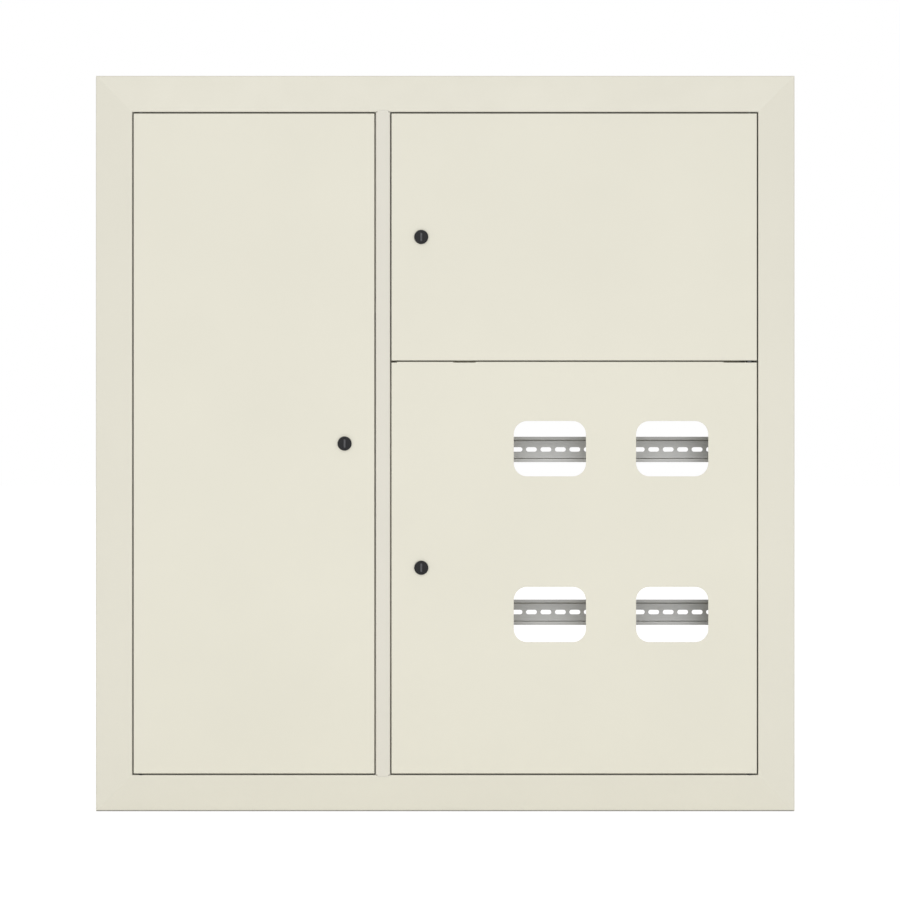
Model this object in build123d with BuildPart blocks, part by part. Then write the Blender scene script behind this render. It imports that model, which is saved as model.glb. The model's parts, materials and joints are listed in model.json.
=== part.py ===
from build123d import *
import os

os.makedirs("parts", exist_ok=True)

# Millimetres. X runs to the right, Y into the wall, Z up.
# The origin is the centre of the four wall fixing holes, on the rear plane.

# Board: outside width and height of the frame, depth from the rear plane to the door faces
BOARD_W = 950.0
BOARD_H = 1000.0
BOARD_D = 140.0

# Front frame, folded from sheet and mitred at the corners
FRAME_T = 1.5
FRAME_BEND = 2.5
BORDER = 50.5
BORDER_FALL = 8.0
RIM_W = 12.0
REVEAL = 22.0
STOP_W = 14.0

# Door openings
LEFT_OPENING_W = 330.0
STILE_W = 20.0
UPPER_DOOR_H = 335.5
DOOR_GAP = 1.5

# Doors
DOOR_T = 1.2
DOOR_D = 15.0
DOOR_LIP = 8.0
DOOR_EDGE_R = 1.5

# Hinges
PIN_D = 5.0
PIN_PLAY = 0.05
PIN_END = 1.5
PIVOT_INSET = 10.0
PIVOT_DEPTH = 5.0
HINGE_PLATE_T = 3.0
HINGE_PLATE_W = 26.0
LUG_W = 9.0
LUG_PLAY = 0.5
LUG_CLEAR = 0.35
WASHER_D = 9.0
WASHER_PLAY = 0.3

# Steps through the top edge of the lower door: end step, two wide steps and the step over the hinge lug
STEP_END_W = 7.5
STEP_W = 30.0
STEP_FROM_FREE_EDGE = 99.0
STEP_FROM_HINGE_EDGE = 30.5

# Windows of the lower door, placed from its hinge edge and its top edge
WINDOW_W = 98.0
WINDOW_H = 75.0
WINDOW_R = 18.0
WINDOW_PITCH_X = 166.0
WINDOW_PITCH_Z = 225.0
WINDOWS_FROM_HINGE = 198.0
WINDOWS_FROM_TOP = 230.5

# Locks
LOCK_SETBACK = 40.5
BEZEL_D = 19.2
BEZEL_T = 2.5
BEZEL_CHAMFER = 0.7
BARREL_D = 16.0
BARREL_FLATS = 14.0
BARREL_PLAY = 0.1
BARREL_CAM_GAP = 0.8
LOCK_NUT_AF = 21.0
LOCK_NUT_T = 4.5
ROTOR_DISC_D = 15.0
ROTOR_RECESS = 0.1
ROTOR_SHAFT_D = 9.0
ROTOR_PLAY = 0.05
ROTOR_SQUARE = 6.0
SLOT_MARGIN = 1.8
SLOT_W = 2.6
SLOT_DEPTH = 1.2
SLOT_FLOOR_T = 0.3
SHUTTER_T = 0.6
CAM_T = 2.5
CAM_L = 38.0
CAM_R = 9.0
CAM_TIP_R = 7.0
CAM_GAP = 0.6
CAM_SCREW_D = 4.0
CAM_SCREW_L = 10.0

# Recess box: four folded walls, open at the back
BOX_T = 1.2
BOX_BEND = 2.0
BOX_MARGIN = 35.0
BOX_FRONT_LIP = 1.5
SIDE_REAR_FLANGE = 30.0
END_REAR_FLANGE = 45.0
FLANGE_JOINT = 0.5
FIXING_HOLE_D = 9.0
FIXING_PITCH = 600.0
FIXING_FROM_EDGE = 12.0
KNOCKOUT_D = 38.0
KNOCKOUT_GROOVE = 1.5
KNOCKOUT_DEPTH = 0.6
KNOCKOUT_FROM_REAR = 60.0
KNOCKOUT_PITCH = 90.0
LEFT_KNOCKOUTS = 3
RIGHT_KNOCKOUTS = 4

# Partition and crossbar
PARTITION_LAP = 22.0
PARTITION_REAR_FLANGE = 25.0
CROSSBAR_H = 29.5
CROSSBAR_D = 15.0

# Posts and rails
POST_T = 1.5
POST_BEND = 2.5
POST_W = 34.0
MIDDLE_POST_W = 62.0
RAIL_H = 35.0
RAIL_D = 7.5
RAIL_T = 1.0
RAIL_BEND = 1.2
RAIL_CHANNEL = 25.0
RAIL_SLOT_L = 15.0
RAIL_SLOT_W = 6.2
RAIL_SLOT_PITCH = 20.0
RAIL_FIRST_SLOT = 17.5
METER_RAIL_SLOTS = 9
METER_RAIL_END = 9.5
RAIL_JOINT = 2.2
RAIL_JOINT_SHIFT = 4.8
RAIL_DROP = 1.0
BREAKER_ROW_PITCH = 150.0

# Breaker cover
COVER_T = 1.2
COVER_RIM = 10.0
COVER_BEHIND_LOCK = 6.2
COVER_BEFORE_RAIL = 45.5
COVER_CLEAR = 6.5
COVER_PAST_PILLAR = 15.6
MODULE_W = 17.5
MODULES = 18
MODULE_H = 45.5
PILLAR_AF = 8.0
PILLAR_FROM_EDGE = 20.0
COVER_SCREW_L = 10.0

# Screws
SCREW_D = 5.0
SCREW_HEAD_D = 8.5
SCREW_HEAD_T = 3.0
SCREW_PLAY = 0.1
SCREW_END = 3.0
FRAME_SCREW_FROM_SIDE = 70.0
STILE_SCREW_FROM_END = 49.5

# Terminal bars
BAR_H = 12.0
BAR_T = 7.0
BAR_END = 9.0
BAR_STANDOFF = 20.0
BAR_FOOT_D = 14.0
BAR_PITCH = 40.0
BARS_BELOW_RAIL = 62.0
TERMINALS = 6
TERMINAL_PITCH = 20.0
TERMINAL_HOLE_D = 5.0
TERMINAL_SCREW_D = 4.0
TERMINAL_HEAD_D = 6.5
TERMINAL_HEAD_T = 2.5

# Communications bay: mounting plate on two straps
PLATE_T = 1.5
PLATE_W = 280.0
PLATE_H = 600.0
PLATE_SLOT_L = 40.0
PLATE_SLOT_W = 7.0
PLATE_SLOT_PITCH_X = 150.0
PLATE_SLOT_PITCH_Z = 90.0
PLATE_SLOT_COLUMNS = 2
PLATE_SLOT_ROWS = 5
STRAP_H = 30.0
STRAP_D = 10.0
STRAP_PITCH = 520.0
STRAP_SEAT = 20.0

# Earth stud on the bottom wall
STUD_D = 8.0
STUD_L = 26.0
STUD_FROM_WALL = 120.0
STUD_FROM_REAR = 60.0
STUD_NUT_AF = 13.0
STUD_NUT_T = 6.5
STUD_WASHER_D = 16.0
STUD_WASHER_T = 1.6

# Places that several pieces share
FRONT = -BOARD_D
OPEN_X = BOARD_W / 2 - BORDER
OPEN_Z = BOARD_H / 2 - BORDER
STOP_FRONT = FRONT + REVEAL
STOP_BACK = STOP_FRONT + FRAME_T
STILE_X = -OPEN_X + LEFT_OPENING_W + STILE_W / 2
STILE_LEFT = STILE_X - STILE_W / 2
STILE_RIGHT = STILE_X + STILE_W / 2
LEFT_BAY_X = (-OPEN_X + STILE_LEFT) / 2
RIGHT_BAY_X = (STILE_RIGHT + OPEN_X) / 2
UPPER_DOOR_BOTTOM = OPEN_Z - DOOR_GAP - UPPER_DOOR_H
LOWER_DOOR_TOP = UPPER_DOOR_BOTTOM - DOOR_GAP
MIDDLE_Z = UPPER_DOOR_BOTTOM - DOOR_GAP / 2
BOX_X = BOARD_W / 2 - BOX_MARGIN
BOX_Z = BOARD_H / 2 - BOX_MARGIN
BOX_FLANGE = BORDER - BOX_MARGIN + STOP_W - BOX_FRONT_LIP
FLANGE_BACK = STOP_BACK + BOX_T
CAM_FRONT = FLANGE_BACK + CAM_GAP
CAM_BACK = CAM_FRONT + CAM_T
COVER_FRONT = CAM_BACK + SCREW_HEAD_T + COVER_BEHIND_LOCK
RAIL_FRONT = COVER_FRONT + COVER_BEFORE_RAIL
RAIL_WEB = RAIL_FRONT + RAIL_D - RAIL_T
POST_FRONT = RAIL_FRONT + RAIL_D
PIVOT_Y = FRONT + PIVOT_DEPTH
PIVOT_X = OPEN_X - DOOR_GAP - PIVOT_INSET
WINDOWS_X = OPEN_X - DOOR_GAP - WINDOWS_FROM_HINGE
WINDOWS_Z = LOWER_DOOR_TOP - WINDOWS_FROM_TOP
RAIL_JOINT_X = WINDOWS_X + RAIL_JOINT_SHIFT
METER_RAIL_L = RAIL_FIRST_SLOT + (METER_RAIL_SLOTS - 1) * RAIL_SLOT_PITCH + METER_RAIL_END
LEFT_RAIL_X = RAIL_JOINT_X - RAIL_JOINT / 2 - METER_RAIL_L
RIGHT_RAIL_X = RAIL_JOINT_X + RAIL_JOINT / 2
LEFT_POST_X = LEFT_RAIL_X + RAIL_FIRST_SLOT
RIGHT_POST_X = RIGHT_RAIL_X + METER_RAIL_L - METER_RAIL_END - RAIL_SLOT_PITCH
METER_ROWS = [WINDOWS_Z + WINDOW_PITCH_Z / 2 - RAIL_DROP, WINDOWS_Z - WINDOW_PITCH_Z / 2 - RAIL_DROP]
FIXING_Z = BOX_Z - END_REAR_FLANGE + FIXING_FROM_EDGE
COVER_LEFT = STILE_RIGHT + STOP_W + COVER_CLEAR
COVER_RIGHT = RIGHT_POST_X + COVER_PAST_PILLAR
COVER_TOP = FIXING_Z - FIXING_HOLE_D / 2 - COVER_CLEAR
COVER_BOTTOM = MIDDLE_Z + CROSSBAR_H / 2 + COVER_CLEAR
COVER_Z = (COVER_TOP + COVER_BOTTOM) / 2
BREAKER_ROWS = [COVER_Z + BREAKER_ROW_PITCH / 2, COVER_Z - BREAKER_ROW_PITCH / 2]
BREAKER_RAIL_L = RIGHT_RAIL_X + METER_RAIL_L - LEFT_RAIL_X
BREAKER_RAIL_SLOTS = int((BREAKER_RAIL_L - RAIL_FIRST_SLOT - METER_RAIL_END) / RAIL_SLOT_PITCH) + 1
PILLAR_ROWS = [COVER_TOP - PILLAR_FROM_EDGE, COVER_BOTTOM + PILLAR_FROM_EDGE]
NEUTRAL_BAR_Z = METER_ROWS[1] - BARS_BELOW_RAIL
EARTH_BAR_Z = NEUTRAL_BAR_Z - BAR_PITCH
STRAP_FRONT = -BOX_T - STRAP_D
HOLE_R = SCREW_D / 2 + SCREW_PLAY
PIN_HOLE_R = PIN_D / 2 + PIN_PLAY


def save(piece, name):
    piece.label = name
    export_step(piece, f"parts/{name}.step")


def folded(plane, points, thickness, bend, side):
    """Section of a folded sheet from the corners of one of its faces."""
    with BuildSketch(plane) as section:
        with BuildLine():
            FilletPolyline(*points, radius=bend)
            offset(amount=thickness, side=side)
        make_face()
    return section.sketch


def spaced(centre, count, pitch):
    """Evenly spaced places along a line, about its centre."""
    return [centre + (index - (count - 1) / 2) * pitch for index in range(count)]


def front_plane(depth):
    """Plane parallel to the doors, seen from the front, at a given Y."""
    return Plane.XZ.offset(-depth)


def screws(points, seat, length, shank_d=SCREW_D, head_d=SCREW_HEAD_D, head_t=SCREW_HEAD_T, facing=1):
    """Screws with their heads on the plane at seat, facing the front (1) or the wall (-1)."""
    with BuildPart() as group:
        with BuildSketch(front_plane(seat)):
            with Locations(*points):
                Circle(head_d / 2)
        extrude(amount=facing * head_t)
        with BuildSketch(front_plane(seat)):
            with Locations(*points):
                Circle(shank_d / 2)
        extrude(amount=-facing * length)
    return group.part


# Front frame: the section of its right side, carried round the opening
FRAME_SCREWS = [
    (x, end * (OPEN_Z - STOP_W / 2))
    for left, right in ((-OPEN_X, STILE_LEFT), (STILE_RIGHT, OPEN_X))
    for x in (left + FRAME_SCREW_FROM_SIDE, right - FRAME_SCREW_FROM_SIDE)
    for end in (-1, 1)
]
with BuildPart() as front_frame:
    border_section = [
        (BOARD_W / 2, FRONT + BORDER_FALL + RIM_W),
        (BOARD_W / 2, FRONT + BORDER_FALL),
        (OPEN_X, FRONT),
        (OPEN_X, STOP_FRONT),
        (OPEN_X - STOP_W, STOP_FRONT),
    ]
    with BuildLine() as opening_line:
        Polyline(
            (OPEN_X, FRONT, 0),
            (OPEN_X, FRONT, OPEN_Z),
            (-OPEN_X, FRONT, OPEN_Z),
            (-OPEN_X, FRONT, -OPEN_Z),
            (OPEN_X, FRONT, -OPEN_Z),
            close=True,
        )
    sweep(
        folded(Plane.XY, border_section, FRAME_T, FRAME_BEND, Side.RIGHT),
        path=opening_line.line,
        transition=Transition.RIGHT,
    )
    with Locations((-PIVOT_X, PIVOT_Y, 0), (PIVOT_X, PIVOT_Y, 0)):
        Cylinder(PIN_HOLE_R, 2 * (OPEN_Z + FRAME_T), mode=Mode.SUBTRACT)
    with BuildSketch(front_plane(STOP_FRONT)):
        with Locations(*FRAME_SCREWS):
            Circle(HOLE_R)
    extrude(amount=-FRAME_T, mode=Mode.SUBTRACT)
save(front_frame.part, "front_frame")


# Weld at an end of the stile: it fills the bend of the frame and is ground flush with both faces
def stile_weld(end):
    corner = (FRONT, end * OPEN_Z)
    frame_face = [(FRONT + BORDER_FALL, end * BOARD_H / 2), corner, (STOP_FRONT, end * OPEN_Z)]
    with BuildSketch(Plane.YZ.offset(STILE_LEFT + FRAME_BEND)) as section:
        with BuildLine():
            folds = FilletPolyline(*frame_face, radius=FRAME_BEND, mode=Mode.PRIVATE)
            bend = folds.edges().filter_by(GeomType.CIRCLE)[0]
            add(bend)
            Polyline(bend @ 0, corner, bend @ 1)
        make_face()
    return section.sketch


# Centre stile: top-hat section, its ends cut to sit on the stops of the frame
STILE_SCREWS = [
    (STILE_RIGHT + STOP_W / 2, step * (OPEN_Z - STILE_SCREW_FROM_END)) for step in (-1, 0, 1)
]
with BuildPart() as centre_stile:
    stile_section = [
        (STILE_LEFT - STOP_W, STOP_FRONT),
        (STILE_LEFT, STOP_FRONT),
        (STILE_LEFT, FRONT),
        (STILE_RIGHT, FRONT),
        (STILE_RIGHT, STOP_FRONT),
        (STILE_RIGHT + STOP_W, STOP_FRONT),
    ]
    extrude(folded(Plane.XY, stile_section, FRAME_T, FRAME_BEND, Side.LEFT), amount=OPEN_Z, both=True)
    for end in (-1, 1):
        extrude(stile_weld(end), amount=STILE_W - 2 * FRAME_BEND)
    with BuildSketch(front_plane(STOP_BACK)):
        with Locations((STILE_X, OPEN_Z), (STILE_X, -OPEN_Z)):
            Rectangle(STILE_W + 2 * STOP_W, 2 * STOP_W)
    extrude(amount=FRAME_T + FRAME_BEND, mode=Mode.SUBTRACT)
    with BuildSketch(front_plane(STOP_FRONT)):
        with Locations(*STILE_SCREWS):
            Circle(HOLE_R)
    extrude(amount=-FRAME_T, mode=Mode.SUBTRACT)
save(centre_stile.part, "centre_stile")

# Crossbar behind the gap between the right doors, butted between the stops
with BuildPart() as crossbar:
    crossbar_section = [
        (STOP_FRONT + CROSSBAR_D, MIDDLE_Z + CROSSBAR_H / 2),
        (STOP_FRONT, MIDDLE_Z + CROSSBAR_H / 2),
        (STOP_FRONT, MIDDLE_Z - CROSSBAR_H / 2),
        (STOP_FRONT + CROSSBAR_D, MIDDLE_Z - CROSSBAR_H / 2),
    ]
    extrude(
        folded(
            Plane.YZ.offset(STILE_RIGHT + STOP_W), crossbar_section, FRAME_T, FRAME_BEND, Side.LEFT
        ),
        amount=OPEN_X - STILE_RIGHT - 2 * STOP_W,
    )
save(crossbar.part, "crossbar")


# Recess box, side walls: front flange behind the frame stops, rear flange on the wall of the niche
def side_wall(name, side):
    section = [
        (side * (BOX_X - BOX_FLANGE), STOP_BACK),
        (side * BOX_X, STOP_BACK),
        (side * BOX_X, 0),
        (side * (BOX_X - SIDE_REAR_FLANGE), 0),
    ]
    inner = Side.LEFT if side > 0 else Side.RIGHT
    with BuildPart() as wall:
        extrude(folded(Plane.XY, section, BOX_T, BOX_BEND, inner), amount=BOX_Z, both=True)
    save(wall.part, name)


side_wall("wall_left", -1)
side_wall("wall_right", 1)

# Recess box, end walls: fitted between the side walls, with knock-outs and the wall fixing holes
END_WALL_X = BOX_X - BOX_T
END_FLANGE_X = BOX_X - max(BOX_FLANGE, SIDE_REAR_FLANGE) - FLANGE_JOINT
FIXINGS_X = spaced(0, 2, FIXING_PITCH)
KNOCKOUTS_X = spaced(LEFT_BAY_X, LEFT_KNOCKOUTS, KNOCKOUT_PITCH)
KNOCKOUTS_X += spaced(RIGHT_BAY_X, RIGHT_KNOCKOUTS, KNOCKOUT_PITCH)


def end_wall(name, end):
    section = [
        (STOP_BACK, end * (BOX_Z - BOX_FLANGE)),
        (STOP_BACK, end * BOX_Z),
        (0, end * BOX_Z),
        (0, end * (BOX_Z - END_REAR_FLANGE)),
    ]
    inner = Side.RIGHT if end > 0 else Side.LEFT
    with BuildPart() as wall:
        extrude(folded(Plane.YZ, section, BOX_T, BOX_BEND, inner), amount=END_FLANGE_X, both=True)
        with BuildSketch(Plane.XY.offset(end * BOX_Z)):
            with Locations((0, STOP_BACK / 2)):
                Rectangle(2 * END_WALL_X, -STOP_BACK - 2 * BOX_BEND)
        extrude(amount=-end * BOX_T)
        with BuildSketch(front_plane(0)):
            with Locations(*[(x, end * FIXING_Z) for x in FIXINGS_X]):
                Circle(FIXING_HOLE_D / 2)
        extrude(amount=BOX_T, mode=Mode.SUBTRACT)
        with BuildSketch(front_plane(STOP_BACK)):
            with Locations(*[point for point in FRAME_SCREWS if point[1] * end > 0]):
                Circle(HOLE_R)
        extrude(amount=-BOX_T, mode=Mode.SUBTRACT)
        with BuildSketch(Plane.XY.offset(end * BOX_Z)):
            with Locations(*[(x, -KNOCKOUT_FROM_REAR) for x in KNOCKOUTS_X]):
                Circle(KNOCKOUT_D / 2)
                Circle(KNOCKOUT_D / 2 - KNOCKOUT_GROOVE, mode=Mode.SUBTRACT)
        extrude(amount=-end * KNOCKOUT_DEPTH, mode=Mode.SUBTRACT)
    save(wall.part, name)


end_wall("wall_top", 1)
end_wall("wall_bottom", -1)

# Partition: lapped behind the right stop of the stile, rear flange towards the communications bay
PARTITION_Z = BOX_Z - END_REAR_FLANGE - FLANGE_JOINT
with BuildPart() as partition:
    partition_section = [
        (STILE_X + PARTITION_LAP, STOP_BACK),
        (STILE_X, STOP_BACK),
        (STILE_X, -BOX_T),
        (STILE_X - PARTITION_REAR_FLANGE, -BOX_T),
    ]
    extrude(folded(Plane.XY, partition_section, BOX_T, BOX_BEND, Side.RIGHT), amount=PARTITION_Z, both=True)
    with BuildSketch(Plane.YZ.offset(STILE_X)):
        with Locations(((FLANGE_BACK - BOX_T) / 2, 0)):
            Rectangle(-FLANGE_BACK - BOX_T - 2 * BOX_BEND, 2 * (BOX_Z - BOX_T))
    extrude(amount=BOX_T)
    with BuildSketch(front_plane(STOP_BACK)):
        with Locations(*STILE_SCREWS):
            Circle(HOLE_R)
    extrude(amount=-BOX_T, mode=Mode.SUBTRACT)
save(partition.part, "partition")

save(screws(FRAME_SCREWS + STILE_SCREWS, STOP_FRONT, FRAME_T + BOX_T + SCREW_END), "frame_screws")


# Screw places on the rails and posts
def rail_slot(left, index):
    return left + RAIL_FIRST_SLOT + index * RAIL_SLOT_PITCH


def nearest_slot(left, count, post_x):
    places = [rail_slot(left, index) for index in range(count)]
    return min(places, key=lambda place: abs(place - post_x))


RAIL_SCREWS = [
    (nearest_slot(LEFT_RAIL_X, BREAKER_RAIL_SLOTS, post_x), z)
    for post_x in (LEFT_POST_X, RIGHT_POST_X)
    for z in BREAKER_ROWS
]
for row in METER_ROWS:
    RAIL_SCREWS.append((rail_slot(LEFT_RAIL_X, 0), row))
    RAIL_SCREWS.append((rail_slot(LEFT_RAIL_X, METER_RAIL_SLOTS - 1), row))
    RAIL_SCREWS.append((rail_slot(RIGHT_RAIL_X, 0), row))
    RAIL_SCREWS.append((rail_slot(RIGHT_RAIL_X, METER_RAIL_SLOTS - 2), row))
PILLARS = [(x, z) for x in (LEFT_POST_X, RIGHT_POST_X) for z in PILLAR_ROWS]
BAR_FEET = [(x, z) for x in (LEFT_POST_X, RAIL_JOINT_X) for z in (NEUTRAL_BAR_Z, EARTH_BAR_Z)]


# Posts: channels between the end walls, open towards the wall
def post(name, x, width):
    section = [
        (x - width / 2, -BOX_T),
        (x - width / 2, POST_FRONT),
        (x + width / 2, POST_FRONT),
        (x + width / 2, -BOX_T),
    ]
    holes = [point for point in RAIL_SCREWS + PILLARS + BAR_FEET if abs(point[0] - x) < width / 2]
    with BuildPart() as channel:
        extrude(folded(Plane.XY, section, POST_T, POST_BEND, Side.LEFT), amount=BOX_Z - BOX_BEND, both=True)
        with BuildSketch(front_plane(POST_FRONT)):
            with Locations(*holes):
                Circle(HOLE_R)
        extrude(amount=-POST_T, mode=Mode.SUBTRACT)
    save(channel.part, name)


post("post_left", LEFT_POST_X, POST_W)
post("post_middle", RAIL_JOINT_X, MIDDLE_POST_W)
post("post_right", RIGHT_POST_X, POST_W)


# Mounting rails: top-hat section with a row of slots
def rail(name, left, z, length, slots):
    half = RAIL_CHANNEL / 2
    section = [
        (RAIL_FRONT, z + RAIL_H / 2),
        (RAIL_FRONT, z + half),
        (RAIL_WEB, z + half),
        (RAIL_WEB, z - half),
        (RAIL_FRONT, z - half),
        (RAIL_FRONT, z - RAIL_H / 2),
    ]
    with BuildPart() as strip:
        extrude(folded(Plane.YZ.offset(left), section, RAIL_T, RAIL_BEND, Side.LEFT), amount=length)
        with BuildSketch(front_plane(RAIL_WEB)):
            with Locations(*[(rail_slot(left, index), z) for index in range(slots)]):
                SlotOverall(RAIL_SLOT_L, RAIL_SLOT_W)
        extrude(amount=-RAIL_T, mode=Mode.SUBTRACT)
    save(strip.part, name)


for place, row in zip(("upper", "lower"), METER_ROWS):
    rail(f"meter_rail_{place}_left", LEFT_RAIL_X, row, METER_RAIL_L, METER_RAIL_SLOTS)
    rail(f"meter_rail_{place}_right", RIGHT_RAIL_X, row, METER_RAIL_L, METER_RAIL_SLOTS)
for place, row in zip(("upper", "lower"), BREAKER_ROWS):
    rail(f"breaker_rail_{place}", LEFT_RAIL_X, row, BREAKER_RAIL_L, BREAKER_RAIL_SLOTS)

save(screws(RAIL_SCREWS, RAIL_WEB, RAIL_T + POST_T + SCREW_END), "rail_screws")

# Breaker cover: shallow tray with a cut-out for each row of breakers
with BuildPart() as breaker_cover:
    cover_x = (COVER_LEFT + COVER_RIGHT) / 2
    cover_w = COVER_RIGHT - COVER_LEFT
    cover_h = COVER_TOP - COVER_BOTTOM
    with BuildSketch(front_plane(COVER_FRONT)):
        with Locations((cover_x, COVER_Z)):
            Rectangle(cover_w, cover_h)
    extrude(amount=-COVER_RIM)
    with BuildSketch(front_plane(COVER_FRONT + COVER_T)):
        with Locations((cover_x, COVER_Z)):
            Rectangle(cover_w - 2 * COVER_T, cover_h - 2 * COVER_T)
    extrude(amount=-COVER_RIM, mode=Mode.SUBTRACT)
    with BuildSketch(front_plane(COVER_FRONT)):
        with Locations(*[((LEFT_POST_X + RIGHT_POST_X) / 2, z) for z in BREAKER_ROWS]):
            Rectangle(MODULES * MODULE_W, MODULE_H)
        with Locations(*PILLARS):
            Circle(HOLE_R)
    extrude(amount=-COVER_T, mode=Mode.SUBTRACT)
save(breaker_cover.part, "breaker_cover")

# Pillars between the posts and the cover, each with a threaded end in its post
with BuildPart() as cover_pillars:
    with BuildSketch(front_plane(POST_FRONT)):
        with Locations(*PILLARS):
            RegularPolygon(PILLAR_AF / 2, 6, major_radius=False)
    extrude(amount=POST_FRONT - COVER_FRONT - COVER_T)
    with BuildSketch(front_plane(POST_FRONT)):
        with Locations(*PILLARS):
            Circle(SCREW_D / 2)
    extrude(amount=-POST_T - SCREW_END)
    with BuildSketch(front_plane(COVER_FRONT)):
        with Locations(*PILLARS):
            Circle(HOLE_R)
    extrude(amount=-COVER_T - COVER_SCREW_L, mode=Mode.SUBTRACT)
save(cover_pillars.part, "cover_pillars")
save(screws(PILLARS, COVER_FRONT, COVER_T + COVER_SCREW_L - SCREW_END), "cover_screws")


# Terminal bars on their feet, across the left and middle posts
BAR_X = (LEFT_POST_X + RAIL_JOINT_X) / 2
BAR_BACK = POST_FRONT - BAR_STANDOFF
BAR_FRONT = BAR_BACK - BAR_T
TERMINALS_X = spaced(BAR_X, TERMINALS, TERMINAL_PITCH)
TERMINAL_DEPTH = BAR_T / 2 - TERMINAL_HOLE_D / 4


def terminal_bar(name, foot_name, z):
    feet = [point for point in BAR_FEET if point[1] == z]
    with BuildPart() as bar:
        with BuildSketch(front_plane(BAR_BACK)):
            with Locations((BAR_X, z)):
                Rectangle(RAIL_JOINT_X - LEFT_POST_X + 2 * BAR_END, BAR_H)
            with Locations(*feet):
                Circle(HOLE_R, mode=Mode.SUBTRACT)
        extrude(amount=BAR_T)
        with BuildSketch(Plane.XY.offset(z - BAR_H / 2)):
            with Locations(*[(x, BAR_BACK - BAR_T / 2) for x in TERMINALS_X]):
                Circle(TERMINAL_HOLE_D / 2)
        extrude(amount=BAR_H, mode=Mode.SUBTRACT)
        with BuildSketch(front_plane(BAR_FRONT)):
            with Locations(*[(x, z) for x in TERMINALS_X]):
                Circle(TERMINAL_SCREW_D / 2 + SCREW_PLAY)
        extrude(amount=-BAR_T / 2, mode=Mode.SUBTRACT)
    save(bar.part, name)
    with BuildPart() as bar_feet:
        with BuildSketch(front_plane(POST_FRONT)):
            with Locations(*feet):
                Circle(BAR_FOOT_D / 2)
                Circle(HOLE_R, mode=Mode.SUBTRACT)
        extrude(amount=BAR_STANDOFF)
    save(bar_feet.part, foot_name)


terminal_bar("neutral_bar", "neutral_insulators", NEUTRAL_BAR_Z)
terminal_bar("earth_bar", "earth_bar_spacers", EARTH_BAR_Z)

with BuildPart() as terminal_screws:
    add(screws(BAR_FEET, BAR_FRONT, BAR_T + BAR_STANDOFF + POST_T + SCREW_END))
    add(
        screws(
            [(x, z) for x in TERMINALS_X for z in (NEUTRAL_BAR_Z, EARTH_BAR_Z)],
            BAR_FRONT,
            TERMINAL_DEPTH,
            TERMINAL_SCREW_D,
            TERMINAL_HEAD_D,
            TERMINAL_HEAD_T,
        )
    )
save(terminal_screws.part, "terminal_screws")

# Communications bay: two straps across the rear flanges and a slotted mounting plate on them
STRAP_ROWS = [STRAP_PITCH / 2, -STRAP_PITCH / 2]
STRAP_LEFT = -BOX_X + SIDE_REAR_FLANGE - STRAP_SEAT
STRAP_RIGHT = STILE_X - PARTITION_REAR_FLANGE + STRAP_SEAT
PLATE_X = (STRAP_LEFT + STRAP_RIGHT) / 2
PLATE_SCREWS = [(PLATE_X + side * (PLATE_W / 2 - STRAP_H / 2), z) for side in (-1, 1) for z in STRAP_ROWS]
with BuildPart() as comms_straps:
    for row in STRAP_ROWS:
        strap_section = [
            (-BOX_T, row + STRAP_H / 2),
            (STRAP_FRONT, row + STRAP_H / 2),
            (STRAP_FRONT, row - STRAP_H / 2),
            (-BOX_T, row - STRAP_H / 2),
        ]
        extrude(
            folded(Plane.YZ.offset(STRAP_LEFT), strap_section, POST_T, POST_BEND, Side.LEFT),
            amount=STRAP_RIGHT - STRAP_LEFT,
        )
    with BuildSketch(front_plane(STRAP_FRONT)):
        with Locations(*PLATE_SCREWS):
            Circle(HOLE_R)
    extrude(amount=-POST_T, mode=Mode.SUBTRACT)
save(comms_straps.part, "comms_straps")

with BuildPart() as comms_plate:
    with BuildSketch(front_plane(STRAP_FRONT)):
        with Locations((PLATE_X, 0)):
            Rectangle(PLATE_W, PLATE_H)
            with GridLocations(PLATE_SLOT_PITCH_X, PLATE_SLOT_PITCH_Z, PLATE_SLOT_COLUMNS, PLATE_SLOT_ROWS):
                SlotOverall(PLATE_SLOT_L, PLATE_SLOT_W, mode=Mode.SUBTRACT)
        with Locations(*PLATE_SCREWS):
            Circle(HOLE_R, mode=Mode.SUBTRACT)
    extrude(amount=PLATE_T)
save(comms_plate.part, "comms_plate")
save(screws(PLATE_SCREWS, STRAP_FRONT - PLATE_T, PLATE_T + POST_T + SCREW_END), "plate_screws")

# Earth stud standing on the bottom wall, with its flanged nut
STUD_FOOT = Plane.XY.offset(-BOX_Z + BOX_T)
STUD_PLACE = (BOX_X - STUD_FROM_WALL, -STUD_FROM_REAR)
with BuildPart() as earth_stud:
    with BuildSketch(STUD_FOOT):
        with Locations(STUD_PLACE):
            Circle(STUD_D / 2)
    extrude(amount=STUD_L)
save(earth_stud.part, "earth_stud")

with BuildPart() as earth_nuts:
    with BuildSketch(STUD_FOOT):
        with Locations(STUD_PLACE):
            Circle(STUD_WASHER_D / 2)
            Circle(STUD_D / 2 + SCREW_PLAY, mode=Mode.SUBTRACT)
    extrude(amount=STUD_WASHER_T)
    with BuildSketch(STUD_FOOT.offset(STUD_WASHER_T)):
        with Locations(STUD_PLACE):
            RegularPolygon(STUD_NUT_AF / 2, 6, major_radius=False)
            Circle(STUD_D / 2 + SCREW_PLAY, mode=Mode.SUBTRACT)
    extrude(amount=STUD_NUT_T)
save(earth_nuts.part, "earth_nuts")

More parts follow.
